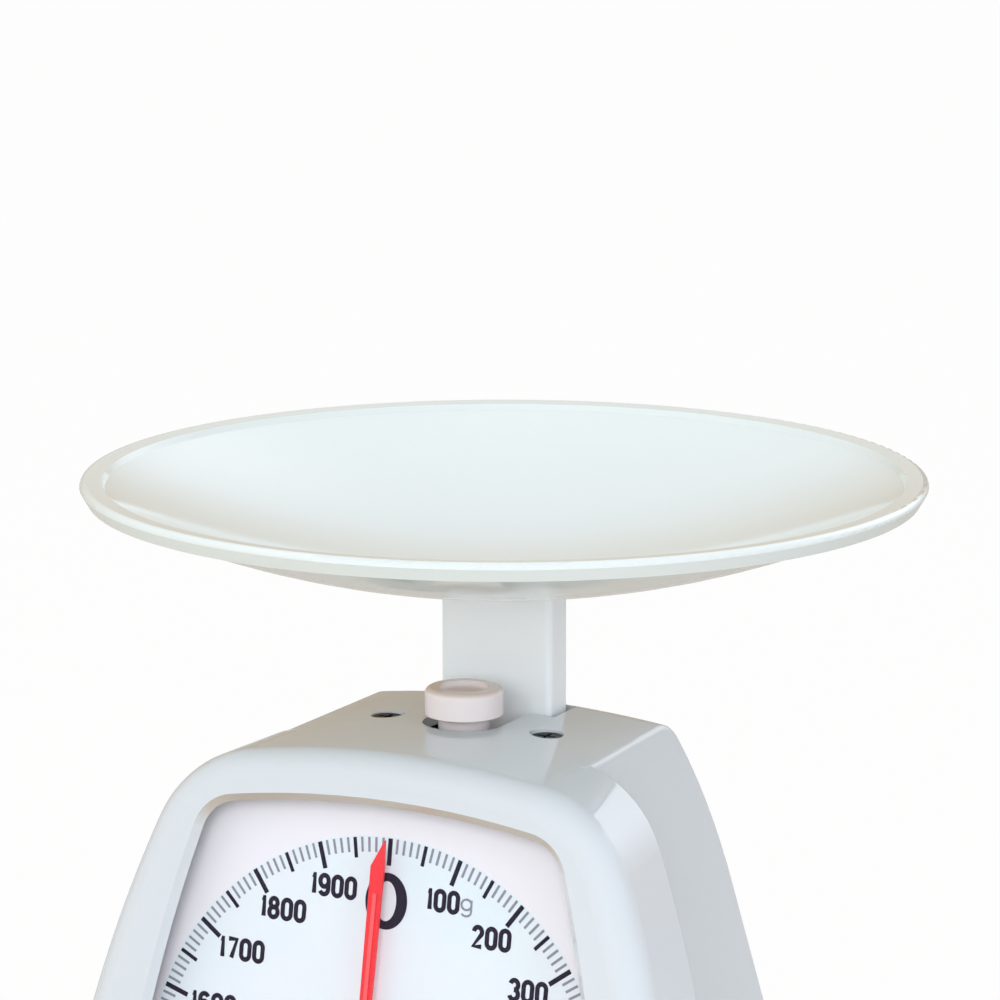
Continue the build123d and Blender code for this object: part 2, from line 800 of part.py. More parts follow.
def rack_x():
    """Root line of the rack's teeth."""
    return pitch_radius + 1.25 * module


def rack_y():
    """Middle of the rack's thickness, in line with the pinion's middle."""
    return face_y(pinion_out - pinion_length / 2, dial_centre_z + pinion_out * sin(tilt))


def mesh_z():
    """Height of the arbor's axis where the rack passes it."""
    return dial_centre_z - (rack_y() - dial_centre_y) * tan(tilt)


def rack_top():
    return mesh_z() + capacity_travel + rack_spare_teeth * tooth_pitch + rack_head


def arm_z():
    """Underside of the rack's arm."""
    return rack_top() - arm_height - 2 * rack_pin_radius


def arm_screw_places():
    x = rack_x() + rack_back + arm_width + small_head
    return [(x, arm_z() - arm_tab_length / 2), (x, arm_z() - arm_tab_length / 2 - 2.4 * small_head)]


def make_rack():
    """Toothed bar that hangs from the arm and turns the pinion as it sinks."""
    low = mesh_z() - (rack_spare_teeth + 1) * tooth_pitch - rack_foot
    y0 = rack_y() - rack_thickness / 2
    y1 = rack_y() + rack_thickness / 2
    x0 = rack_x()
    rack = box_between(x0, x0 + rack_back, y0, y1, low, rack_top())
    lean = tan(radians(tooth_flank))
    width = tooth_pitch / 2 - tooth_backlash
    tip = width / 2 - module * lean
    root = width / 2 + 1.25 * module * lean
    count = int(capacity_travel * cos(tilt) / tooth_pitch + 0.5) + 2 * rack_spare_teeth
    height = 2.25 * module
    teeth = []
    for k in range(count):
        t = (k - rack_spare_teeth + 0.5) * tooth_pitch
        low_flank = [(x0 + nothing, t - root), (x0 - height, t - tip)]
        high_flank = [(x0 - height, t + tip), (x0 + nothing, t + root)]
        teeth.append(make_face(Polyline(*low_flank, *high_flank, close=True)))
    comb = out_plate(Sketch() + teeth, pinion_out - 2 * pinion_length, pinion_out + pinion_length)
    rack += comb & box_between(-far, far, y0, y1, low, rack_top())
    hole = Pos(x0 + rack_back / 2, rack_y(), rack_pin_z()) * Rot(90, 0, 0)
    return rack - hole * Cylinder(rack_pin_radius, rack_thickness)


def rack_pin_z():
    return rack_top() - 2 * rack_pin_radius - arm_height


def make_rack_pin():
    """Pin on which the rack hangs from its arm."""
    y0 = rack_y() - rack_thickness / 2
    y1 = rack_y() + rack_thickness / 2 + 2 * seat_gap + sheet
    x = rack_x() + rack_back / 2
    return Pos(x, (y0 + y1) / 2, rack_pin_z()) * Rot(90, 0, 0) * Cylinder(rack_pin_radius, y1 - y0)


def make_rack_arm():
    """Folded strip from the carriage forward to the rack."""
    x0 = rack_x() + rack_back + seat_gap
    x1 = x0 + arm_width
    y0 = rack_y() + rack_thickness / 2 + 2 * seat_gap
    z0 = arm_z()
    arm = box_between(x0, x1, y0, carriage_front_y, z0, z0 + arm_height)
    # Front tab behind the rack
    low = rack_pin_z() - 3 * rack_pin_radius
    arm += box_between(rack_x(), x1, y0, y0 + sheet, low, z0 + arm_height)
    # Rear tab on the carriage
    foot_x = x1 + 2 * small_head
    foot_low = z0 - arm_tab_length - 2.4 * small_head
    arm += box_between(x0, foot_x, carriage_front_y - sheet, carriage_front_y, foot_low, z0 + arm_height)
    x = rack_x() + rack_back / 2
    arm -= Pos(x, y0 + sheet / 2, rack_pin_z()) * Rot(90, 0, 0) * Cylinder(rack_pin_radius, sheet)
    for x, z in arm_screw_places():
        arm -= Pos(x, carriage_front_y - sheet / 2, z) * Rot(90, 0, 0) * Cylinder(small_shank, sheet)
    return arm


def make_arm_screws():
    """Screws through the arm's rear tab into the carriage."""
    screws = []
    for x, z in arm_screw_places():
        body = screw(0, 0, 0, -1, 2 * sheet, small_shank, small_head, small_head_height)
        screws.append(Pos(x, carriage_front_y - sheet, z) * Rot(90, 0, 0) * body)
    return group(screws)


# Dish body

def make_dish():
    """Shallow round dish with a flat flange, a turned-down lip and a tongue for the post."""
    centre_z = rim_z - dish_depth + pad_height + dish_bowl_radius
    inner_radius = dish_bowl_radius - dish_wall
    under_r = dish_radius - lip_draft - lip_width
    inner_r = dish_radius - dish_flange

    def on_bowl(radius, r):
        return centre_z - sqrt(radius ** 2 - r ** 2)

    lip_z = rim_z - lip_height
    under_end = (under_r, on_bowl(dish_bowl_radius, under_r))
    inner_end = (inner_r, on_bowl(inner_radius, inner_r))
    step = dish_wall / 3
    lines = [
        RadiusArc((0, centre_z - dish_bowl_radius), under_end, -dish_bowl_radius),
        Polyline(under_end, (under_r, lip_z), (under_r + lip_width, lip_z), (dish_radius, rim_z - rim_round)),
        RadiusArc((dish_radius, rim_z - rim_round), (dish_radius - rim_round, rim_z), -rim_round),
        Polyline((dish_radius - rim_round, rim_z), (inner_r + step, rim_z - step / 2), inner_end),
        RadiusArc(inner_end, (0, centre_z - inner_radius), inner_radius),
        Line((0, centre_z - inner_radius), (0, centre_z - dish_bowl_radius)),
    ]
    section = make_face(lines)
    dish = revolve(Plane.XZ * section, Axis.Z)
    pad = Pos(0, 0, post_top) * extrude(post_outline(-post_corner_radius / 2), pad_height + dish_wall / 2)
    tongue = Rectangle(tongue_width, tongue_depth)
    tongue = Pos(0, 0, post_top - tongue_length) * extrude(tongue, tongue_length)
    tongue = chamfer(tongue.faces().sort_by(Axis.Z)[0].edges(), tongue_gap * 2)
    return dish + pad + tongue


# Zero knob body

def make_zero_knob():
    """Round knob with a cupped top on a neck that stands on the carriage's tab."""
    knob = rod(0, knob_y, knob_bottom, knob_top, knob_radius)
    knob = fillet(knob.faces().sort_by(Axis.Z)[-1].edges(), knob_shoulder)
    knob = chamfer(knob.faces().sort_by(Axis.Z)[0].edges(), knob_gap / 2)
    cup = rod(0, knob_y, knob_top - knob_cup_depth, knob_top, knob_cup_radius)
    cup = fillet(cup.faces().sort_by(Axis.Z)[0].edges(), knob_cup_depth * 0.8)
    knob -= cup
    knob += rod(0, knob_y, flange_top + seat_gap, knob_bottom, knob_neck_radius)
    return knob - rod(0, knob_y, flange_top, knob_top - screw_top_cover, screw_radius)


def make_zero_screw():
    """Long screw from the knob through the tab and the spring hanger."""
    return rod(0, knob_y, screw_bottom, knob_top - screw_top_cover, screw_radius)


def make_screw_clip():
    """Ring that stops the screw lifting out of the tab."""
    top = flange_bottom - seat_gap
    clip = rod(0, knob_y, top - clip_thickness, top, clip_radius)
    return clip - rod(0, knob_y, top - clip_thickness, top, screw_radius)


# Hanger body

def make_spring_hanger():
    """Threaded bar on the zero screw with a plug in the lower end of each spring."""
    bar = RectangleRounded(2 * hanger_half_width, 2 * hanger_half_depth, hanger_half_depth - hanger_flat)
    hanger = Pos(0, knob_y, hanger_bottom) * extrude(bar, hanger_thickness)
    hanger += rod(0, knob_y, hanger_top, hanger_top + hanger_boss_height, hanger_boss_radius)
    plug_top = spring_bottom + plug_engagement
    for side in (-1, 1):
        hanger += rod(side * spring_x, knob_y, hanger_top, plug_top, plug_radius)
    bore = rod(0, knob_y, hanger_bottom, hanger_top + hanger_boss_height, screw_radius + running_gap)
    return hanger - bore


# Lever bodies

def make_lever(pivot_z):
    """Fork of two arms and a crossbar, from the rear axle to the pin in the carriage."""
    rear = (lever_rear_y, pivot_z)
    angle = degrees(half_swing)
    place = Pos(*rear) * Rot(0, 0, 180 - angle)
    arm = place * Pos(lever_length / 2, 0) * SlotCenterToCenter(lever_length, 2 * lever_arm_radius)
    arm_x = lever_arm_x
    lever = both_sides(side_plate(arm, arm_x, arm_x + sheet))
    bar = place * Pos(crossbar_offset, 0) * Rectangle(lever_arm_radius, sheet)
    lever += side_plate(bar, -arm_x - sheet / 2, arm_x + sheet / 2)
    reach = arm_x + sheet + screw_end
    lever -= cross_rod(-reach, reach, *rear, pin_radius + running_gap)
    return lever - cross_rod(-reach, reach, lever_front_y, pivot_z + lever_front_rise, pin_radius)


def make_lever_pin(pivot_z):
    """Pin at the lever's front end, free to slide a little in the carriage's ears."""
    reach = lever_arm_x + sheet + screw_end
    return cross_rod(-reach, reach, lever_front_y, pivot_z + lever_front_rise, pin_radius)


# Pointer body

def make_pointer():
    """Flat red pointer: a ribbed blade beside the middle line, its tip on that line, a hub and a tail."""
    shoulder_t = pointer_length - pointer_taper
    outline = [
        (0, pointer_length),
        (pointer_right, shoulder_t),
        (pointer_root_right, 0),
        (pointer_tail_half, 0),
        (pointer_tail_half, -pointer_tail),
        (-pointer_tail_half, -pointer_tail),
        (-pointer_tail_half, 0),
        (pointer_root_left, 0),
        (pointer_left, shoulder_t),
    ]
    blade = make_face(Polyline(*outline, close=True))
    blade += Pos(0, -pointer_tail) * Circle(pointer_tail_half)
    blade += Circle(pointer_hub_radius)
    front = pointer_out + pointer_thickness
    pointer = out_plate(blade, pointer_out, front)
    rib_length = pointer_length - 2 * pointer_taper
    low_x = (pointer_root_right + pointer_root_left) / 2
    high_x = (pointer_right + pointer_left) / 2
    rib = [(low_x - pointer_rib_half, 0), (low_x + pointer_rib_half, 0)]
    rib += [(high_x + pointer_rib_half, rib_length), (high_x - pointer_rib_half, rib_length)]
    pointer += out_plate(make_face(Polyline(*rib, close=True)), front, front + pointer_rib)
    return pointer - out_rod(0, 0, pointer_out, front + pointer_rib, arbor_radius)


def make_pointer_cap():
    """Flat cap over the end of the arbor."""
    front = pointer_out + pointer_thickness + pointer_rib
    cap = out_rod(0, 0, front, front + cap_height, cap_radius)
    return chamfer(cap.faces().sort_by(outward)[-1].edges(), cap_height / 2)


def make_arbor():
    front = pointer_out + pointer_thickness + pointer_rib
    return out_rod(0, 0, movement_out - 2 * sheet, front, arbor_radius)


def make_pinion():
    """Pinion with straight-sided teeth that runs on the rack."""
    half_width = tooth_pitch / 4 - tooth_backlash / 2
    tip_radius = pitch_radius + 0.9 * module
    root_radius = pitch_radius - 1.2 * module
    half_tip = half_width - 0.45 * module
    half_root = half_width + 0.28 * module
    flank = [(root_radius, half_root), (pitch_radius, half_width), (tip_radius, half_tip)]
    profile = [(x, -y) for x, y in flank] + list(reversed(flank))
    corners = []
    for k in range(pinion_teeth):
        turn = 2 * pi * k / pinion_teeth
        corners += [(x * cos(turn) - y * sin(turn), x * sin(turn) + y * cos(turn)) for x, y in profile]
    outline = make_face(Polyline(*corners, close=True)) - Circle(arbor_radius)
    return out_plate(outline, pinion_out - pinion_length, pinion_out)


def build_all():
    outer = housing_form(0, foot_height)
    return {
        "housing": make_housing(outer),
        "base_plate": make_base_plate(),
        "rubber_feet": make_feet(),
        "window_lens": make_lens(),
        "dial_board": make_dial_board(),
        "dial_screws": make_dial_screws(),
        "top_screws": make_top_screws(),
        "base_screws": make_base_screws(),
        "mechanism_frame": make_mechanism_frame(),
        "frame_screws": make_frame_screws(),
        "movement_plate": make_movement_plate(),
        "movement_screws": make_movement_screws(),
        "lever_axles": make_lever_axles(),
        "arbor_bridge": make_arbor_bridge(),
        "bridge_screws": make_bridge_screws(),
        "bridge_pillars": make_bridge_pillars(),
        "dial_pillars": make_dial_pillars(),
        "arbor_bushes": make_bushes(),
        "rack_guide": make_rack_guide(),
        "left_spring": make_spring(-1),
        "right_spring": make_spring(1),
        "spring_anchors": make_spring_anchors(),
        "overload_stop": make_overload_stop(),
        "dish_post": make_dish_post(),
        "post_screws": make_post_screws(),
        "load_carriage": make_load_carriage(),
        "rack_arm": make_rack_arm(),
        "arm_screws": make_arm_screws(),
        "rack": make_rack(),
        "rack_pin": make_rack_pin(),
        "weighing_dish": make_dish(),
        "zero_knob": make_zero_knob(),
        "zero_screw": make_zero_screw(),
        "screw_clip": make_screw_clip(),
        "spring_hanger": make_spring_hanger(),
        "upper_lever": make_lever(upper_pivot_z),
        "upper_lever_pin": make_lever_pin(upper_pivot_z),
        "lower_lever": make_lever(lower_pivot_z),
        "lower_lever_pin": make_lever_pin(lower_pivot_z),
        "pointer": make_pointer(),
        "pointer_cap": make_pointer_cap(),
        "pointer_arbor": make_arbor(),
        "pinion": make_pinion(),
    }


if __name__ == "__main__":
    os.makedirs("parts", exist_ok=True)
    for name, shape in build_all().items():
        export_step(shape, f"parts/{name}.step")
        print(f"{name}: {len(shape.solids())} solids, {shape.volume:.1f} mm3")
    print(f"pinion's pitch radius {pitch_radius:.4f}, levers' swing {2 * degrees(half_swing):.4f} degrees")
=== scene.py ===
"""Looks of an analogue kitchen scale: the finish of every part and the print on its dial."""

import json
import math

import bmesh
import bpy
from mathutils import Matrix, Vector


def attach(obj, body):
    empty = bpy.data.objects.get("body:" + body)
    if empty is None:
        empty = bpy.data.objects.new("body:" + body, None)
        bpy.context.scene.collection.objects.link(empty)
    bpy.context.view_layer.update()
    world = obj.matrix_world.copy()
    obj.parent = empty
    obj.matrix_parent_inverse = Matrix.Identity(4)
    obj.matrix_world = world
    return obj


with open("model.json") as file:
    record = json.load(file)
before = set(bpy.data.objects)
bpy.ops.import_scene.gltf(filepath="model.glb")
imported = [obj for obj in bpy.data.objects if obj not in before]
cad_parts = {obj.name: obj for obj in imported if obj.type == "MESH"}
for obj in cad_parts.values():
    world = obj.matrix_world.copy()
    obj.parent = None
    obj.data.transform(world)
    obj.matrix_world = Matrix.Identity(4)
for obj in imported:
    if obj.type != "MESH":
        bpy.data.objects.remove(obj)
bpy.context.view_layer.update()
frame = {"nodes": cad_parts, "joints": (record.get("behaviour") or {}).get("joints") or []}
nodes = frame["nodes"]
joints = {joint["name"]: joint for joint in frame["joints"]}

bl_info = {
    "name": "Kitchen Scale Looks",
    "version": (1, 0, 0),
    "blender": (4, 5, 0),
    "location": "View3D > Sidebar > Kitchen Scale",
    "description": "Finishes an analogue kitchen scale and prints its dial",
    "category": "Object",
}

MM = 0.001


def ink(red, green, blue):
    """Linear colour of a printed colour given in steps of 0 to 255."""
    steps = [v / 255 for v in (red, green, blue)]
    return tuple(v / 12.92 if v <= 0.04045 else ((v + 0.055) / 1.055) ** 2.4 for v in steps)


def shade_of(colour, level):
    """The colour made lighter or darker."""
    return tuple(min(1.0, v * level) for v in colour)


# Place of the dial, from the pointer's joint: right, up the tilt and out to the viewer
dial_centre = Vector(joints["pointer_turn"]["pos_m"])
dial_out = -Vector(joints["pointer_turn"]["axis"]).normalized()
dial_right = Vector((1, 0, 0))
dial_up = dial_out.cross(dial_right)
print_lift = 0.05  # printed ink in front of the board, in millimetres
print_thickness = 0.04  # thickness of the printed numbers, in millimetres
disc_margin = 0.4  # the disc's reach beyond the ticks, in millimetres
one_share = 0.45  # width of the 1 as a share of the other digits
unit_share = 0.45  # stroke of the unit as a share of the numbers' stroke
ticks_per_step = 10  # ticks from one number to the next
highlight_depth = 0.1  # depth below the rib's top that gets a painted highlight, in millimetres


def on_dial(right, up, out=0.0):
    """Matrix that stands a flat shape on the dial, in millimetres from the dial's centre."""
    turn = Matrix((dial_right, dial_up, dial_out)).transposed().to_4x4()
    return Matrix.Translation(dial_centre) @ turn @ Matrix.Translation(Vector((right, up, out)) * MM)


class Wire:
    """A shader socket whose value can be used in sums."""

    def __init__(self, finish, socket):
        self.finish = finish
        self.socket = socket

    def _with(self, operation, first, second=None):
        values = {0: first} if second is None else {0: first, 1: second}
        return self.finish.node("ShaderNodeMath", {"operation": operation}, values)

    def __add__(self, other):
        return self._with("ADD", self, other)

    def __radd__(self, other):
        return self._with("ADD", other, self)

    def __sub__(self, other):
        return self._with("SUBTRACT", self, other)

    def __rsub__(self, other):
        return self._with("SUBTRACT", other, self)

    def __mul__(self, other):
        return self._with("MULTIPLY", self, other)

    def __rmul__(self, other):
        return self._with("MULTIPLY", other, self)

    def __gt__(self, other):
        return self._with("GREATER_THAN", self, other)

    def root(self):
        return self._with("SQRT", self)

    def most(self, other):
        return self._with("MAXIMUM", self, other)


class Finish:
    """A material being mixed, or the world when it is given one."""

    def __init__(self, name, world=None):
        self.owner = world or bpy.data.materials.new(name)
        self.owner.use_nodes = True
        self.tree = self.owner.node_tree
        self.tree.nodes.clear()
        self.place = self.node("ShaderNodeTexCoord", take="Generated" if world else "Object")

    def node(self, kind, settings=None, values=None, take=0):
        """Adds a node with its settings and the values or wires of its sockets; gives one output."""
        made = self.tree.nodes.new(kind)
        for key, value in (settings or {}).items():
            setattr(made, key, value)
        for key, value in (values or {}).items():
            if isinstance(value, Wire):
                self.tree.links.new(value.socket, made.inputs[key])
            else:
                made.inputs[key].default_value = value
        return Wire(self, made.outputs[take])

    def mix(self, factor, first, second):
        """Blend of two colours or colour wires."""
        colours = [c if isinstance(c, Wire) else (*c, 1.0) for c in (first, second)]
        return self.node(
            "ShaderNodeMix", {"data_type": "RGBA"}, {0: factor, 6: colours[0], 7: colours[1]}, take=2
        )

    def vector(self, operation, first, second, take=0):
        return self.node("ShaderNodeVectorMath", {"operation": operation}, {0: first, 1: second}, take=take)

    def stretched(self, size):
        """Place on the part, stretched along its axes."""
        return self.vector("MULTIPLY", self.place, size)

    def noise(self, scale, detail=2.0, roughness=0.5, place=None):
        values = {"Vector": place or self.place, "Scale": scale, "Detail": detail, "Roughness": roughness}
        return self.node("ShaderNodeTexNoise", {}, values)

    def cells(self, scale):
        """Distance to the nearest of many scattered points."""
        return self.node("ShaderNodeTexVoronoi", {}, {"Vector": self.place, "Scale": scale}, take="Distance")

    def band(self, value, low, high, low_to=0.0, high_to=1.0):
        """Maps a range of a value onto another, clamped."""
        values = {0: value, 1: low, 2: high, 3: low_to, 4: high_to}
        return self.node("ShaderNodeMapRange", {"clamp": True}, values)

    def facing_up(self):
        """How far the surface faces upwards, from -1 to 1."""
        normal = self.node("ShaderNodeNewGeometry", take="Normal")
        return self.node("ShaderNodeSeparateXYZ", {}, {0: normal}, take="Z")

    def bump(self, height, distance):
        """Normal of a surface that rises by up to a distance in metres."""
        values = {"Height": height, "Distance": distance, "Strength": 1.0}
        return self.node("ShaderNodeBump", {}, values, take="Normal")

    def shader(self, **values):
        """Principled shader with its values; words are joined by an underscore."""
        named = {key.replace("_", " "): value for key, value in values.items()}
        for key, value in named.items():
            if isinstance(value, tuple) and len(value) == 3:
                named[key] = (*value, 1.0)
        return self.node("ShaderNodeBsdfPrincipled", {}, named)

    def done(self, shader, kind="ShaderNodeOutputMaterial"):
        """Wires the shader to the output and gives the finished material or world."""
        out = self.tree.nodes.new(kind)
        self.tree.links.new(shader.socket, out.inputs["Surface"])
        return self.owner


def hairlines(finish, scale, stretch):
    """Faint fine lines in one direction that come and go, from 0 to 1."""
    lines = finish.noise(scale, 1.0, 0.4, finish.stretched(stretch))
    where = finish.band(finish.noise(48, 2.0), 0.50, 0.68)
    return finish.band(lines, 0.66, 0.74) * where


def moulded(name, colour, gloss, peel, dust, under_shade=0.0, top_shade=0.0):
    """Glossy moulded plastic with flow clouds, orange peel, hairlines and dust.

    The last two arguments turn downward faces warm brown and upper faces beige, both as painted shade.
    """
    finish = Finish(name)
    drift = finish.band(finish.noise(9, 3.0), 0.35, 0.65)
    cloud = finish.band(finish.noise(55, 4.0, 0.6), 0.3, 0.7)
    speck = finish.band(finish.noise(3800, 1.0), 0.76, 0.80)
    upwards = finish.facing_up()
    settled = finish.band(upwards, 0.5, 1.0) * finish.band(finish.noise(240, 5.0, 0.7), 0.50, 0.74)
    lines = hairlines(finish, 900, (1.0, 0.06, 0.5))
    body = finish.mix(drift, shade_of(colour, 0.988), shade_of(colour, 1.008))
    body = finish.mix(cloud * 0.25, body, shade_of(colour, 0.982))
    body = finish.mix(settled * (0.08 * dust), body, ink(200, 192, 180))
    body = finish.mix(speck * (0.12 * dust), body, ink(150, 146, 140))
    # Painted shade: downward faces turn warm brown, as if shaded and lit from the floor below.
    body = finish.mix(finish.band(upwards, -0.4, -0.05, under_shade, 0.0), body, ink(178, 156, 126))
    # Painted shade: upper faces turn beige, as if in the shade under the dish.
    body = finish.mix(finish.band(upwards, 0.35, 0.8, 0.0, top_shade), body, ink(196, 166, 142))
    rough = gloss + 0.015 * cloud + 0.02 * dust * settled + 0.05 * lines
    skin = finish.noise(380, 2.0) * 0.8 + finish.noise(1500, 1.0) * 0.2
    normal = finish.bump(skin, peel * MM)
    return finish.done(finish.shader(Base_Color=body, Roughness=rough, Normal=normal, IOR=1.5))


def grained(name, colour, rough_at, grain):
    """Matt moulded plastic or rubber with an etched grain."""
    finish = Finish(name)
    cloud = finish.band(finish.noise(45, 4.0), 0.3, 0.7)
    pits = finish.cells(1400) * 0.6 + finish.noise(2600, 3.0) * 0.4
    body = finish.mix(cloud, shade_of(colour, 0.93), shade_of(colour, 1.05))
    body = finish.mix(finish.band(pits, 0.2, 0.6) * 0.18, body, shade_of(colour, 0.8))
    rough = rough_at + 0.10 * cloud
    return finish.done(finish.shader(Base_Color=body, Roughness=rough, Normal=finish.bump(pits, grain * MM)))


def plated(name, colour, tint, rough_at, grain=(1.0, 1.0, 0.05)):
    """Zinc-plated or drawn steel: rolled grain, cloudy passivation and small stains."""
    finish = Finish(name)
    cloud = finish.band(finish.noise(70, 5.0, 0.65), 0.32, 0.68)
    rolled = finish.noise(2400, 2.0, 0.6, finish.stretched(grain))
    stain = finish.band(finish.noise(160, 6.0, 0.7), 0.60, 0.72)
    body = finish.mix(cloud, colour, tint)
    body = finish.mix(stain * 0.25, body, shade_of(colour, 0.6))
    rough = rough_at + 0.12 * cloud + 0.10 * stain + 0.08 * rolled
    normal = finish.bump(rolled, 0.010 * MM)
    return finish.done(finish.shader(Base_Color=body, Metallic=1.0, Roughness=rough, Normal=normal))


def turned(name, colour, rough_at):
    """Turned brass with fine rings round the dial's axis and slight tarnish."""
    finish = Finish(name)
    step = finish.vector("SUBTRACT", finish.place, tuple(dial_centre))
    along = finish.vector("DOT_PRODUCT", step, tuple(dial_out), take="Value")
    rings = finish.noise(4200, 2.0, 0.5, finish.node("ShaderNodeCombineXYZ", {}, {0: along}))
    tarnish = finish.band(finish.noise(190, 5.0, 0.6), 0.42, 0.7)
    body = finish.mix(tarnish, colour, shade_of(colour, 0.72))
    rough = rough_at + 0.15 * tarnish + 0.05 * rings
    normal = finish.bump(rings, 0.006 * MM)
    return finish.done(finish.shader(Base_Color=body, Metallic=1.0, Roughness=rough, Normal=normal))


def dial_card(name, inside, outside, edge):
    """Printed board: a pale disc inside the tick ring and a warmer field outside it."""
    finish = Finish(name)
    step = finish.vector("SUBTRACT", finish.place, tuple(dial_centre))
    depth = finish.vector("DOT_PRODUCT", step, tuple(dial_out), take="Value")
    length = finish.vector("LENGTH", step, (0.0, 0.0, 0.0), take="Value")
    radius = (length * length - depth * depth).most(0.0).root()
    ring = finish.band(radius, (edge - 0.15) * MM, (edge + 0.15) * MM)
    fibre = finish.noise(2200, 4.0, 0.7)
    cloud = finish.band(finish.noise(38, 3.0), 0.3, 0.7)
    body = finish.mix(ring, inside, outside)
    body = finish.mix(cloud * 0.5, body, shade_of(outside, 0.985))
    body = finish.mix(finish.band(fibre, 0.55, 0.8) * 0.08, body, ink(176, 176, 190))
    rough = 0.42 + 0.10 * cloud
    normal = finish.bump(fibre, 0.006 * MM)
    return finish.done(finish.shader(Base_Color=body, Roughness=rough, Normal=normal))


def printed(name, colour, wear):
    """Screen-printed ink with a faint mottle."""
    finish = Finish(name)
    mottle = finish.band(finish.noise(900, 4.0, 0.7), 0.35, 0.75)
    body = finish.mix(mottle * wear, colour, shade_of(colour, 1.9))
    rough = 0.50 + 0.14 * mottle
    return finish.done(finish.shader(Base_Color=body, Roughness=rough, Specular_IOR_Level=0.2))


def clear(name, colour, cover):
    """Clear polished window with faint wipe marks and dust."""
    finish = Finish(name)
    wipe = finish.band(finish.noise(36, 4.0, 0.6, finish.stretched((1.0, 1.0, 0.35))), 0.45, 0.7)
    speck = finish.band(finish.noise(3600, 1.0), 0.76, 0.80)
    lines = hairlines(finish, 800, (1.0, 1.0, 0.05))
    alpha = cover + 0.006 * wipe + 0.02 * speck + 0.01 * lines
    rough = 0.03 + 0.04 * wipe
    return finish.done(finish.shader(Base_Color=colour, Roughness=rough, Alpha=alpha, IOR=1.49))


def enamel(name, colour, rib_highlight):
    """Red sheet pointer: satin colour with a painted highlight along the top of its rib down the middle."""
    finish = Finish(name)
    cloud = finish.band(finish.noise(240, 4.0), 0.35, 0.7)
    step = finish.vector("SUBTRACT", finish.place, tuple(dial_centre))
    depth = finish.vector("DOT_PRODUCT", step, tuple(dial_out), take="Value")
    rib_top = max((v.co - dial_centre).dot(dial_out) for v in nodes["pointer"].data.vertices)
    # Painted highlight: the top of the rib is mixed towards a lighter red.
    rib = depth > rib_top - highlight_depth * MM
    body = finish.mix(cloud, shade_of(colour, 0.94), colour)
    body = finish.mix(rib * 0.35, body, rib_highlight)
    normal = finish.bump(cloud, 0.004 * MM)
    return finish.done(finish.shader(Base_Color=body, Roughness=0.34 + 0.08 * cloud, Normal=normal))


def dress(material, *names):
    """Gives the parts this finish."""
    for name in names:
        part = nodes[name]
        part.data.materials.clear()
        part.data.materials.append(material)


def new_piece(name, mesh_maker, material, body):
    """Makes a piece from a bmesh and lets it ride on a body of the scale."""
    mesh = bpy.data.meshes.new(name)
    made = bmesh.new()
    mesh_maker(made)
    made.to_mesh(mesh)
    made.free()
    mesh.materials.append(material)
    piece = bpy.data.objects.new(name, mesh)
    bpy.context.scene.collection.objects.link(piece)
    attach(piece, body)
    return piece


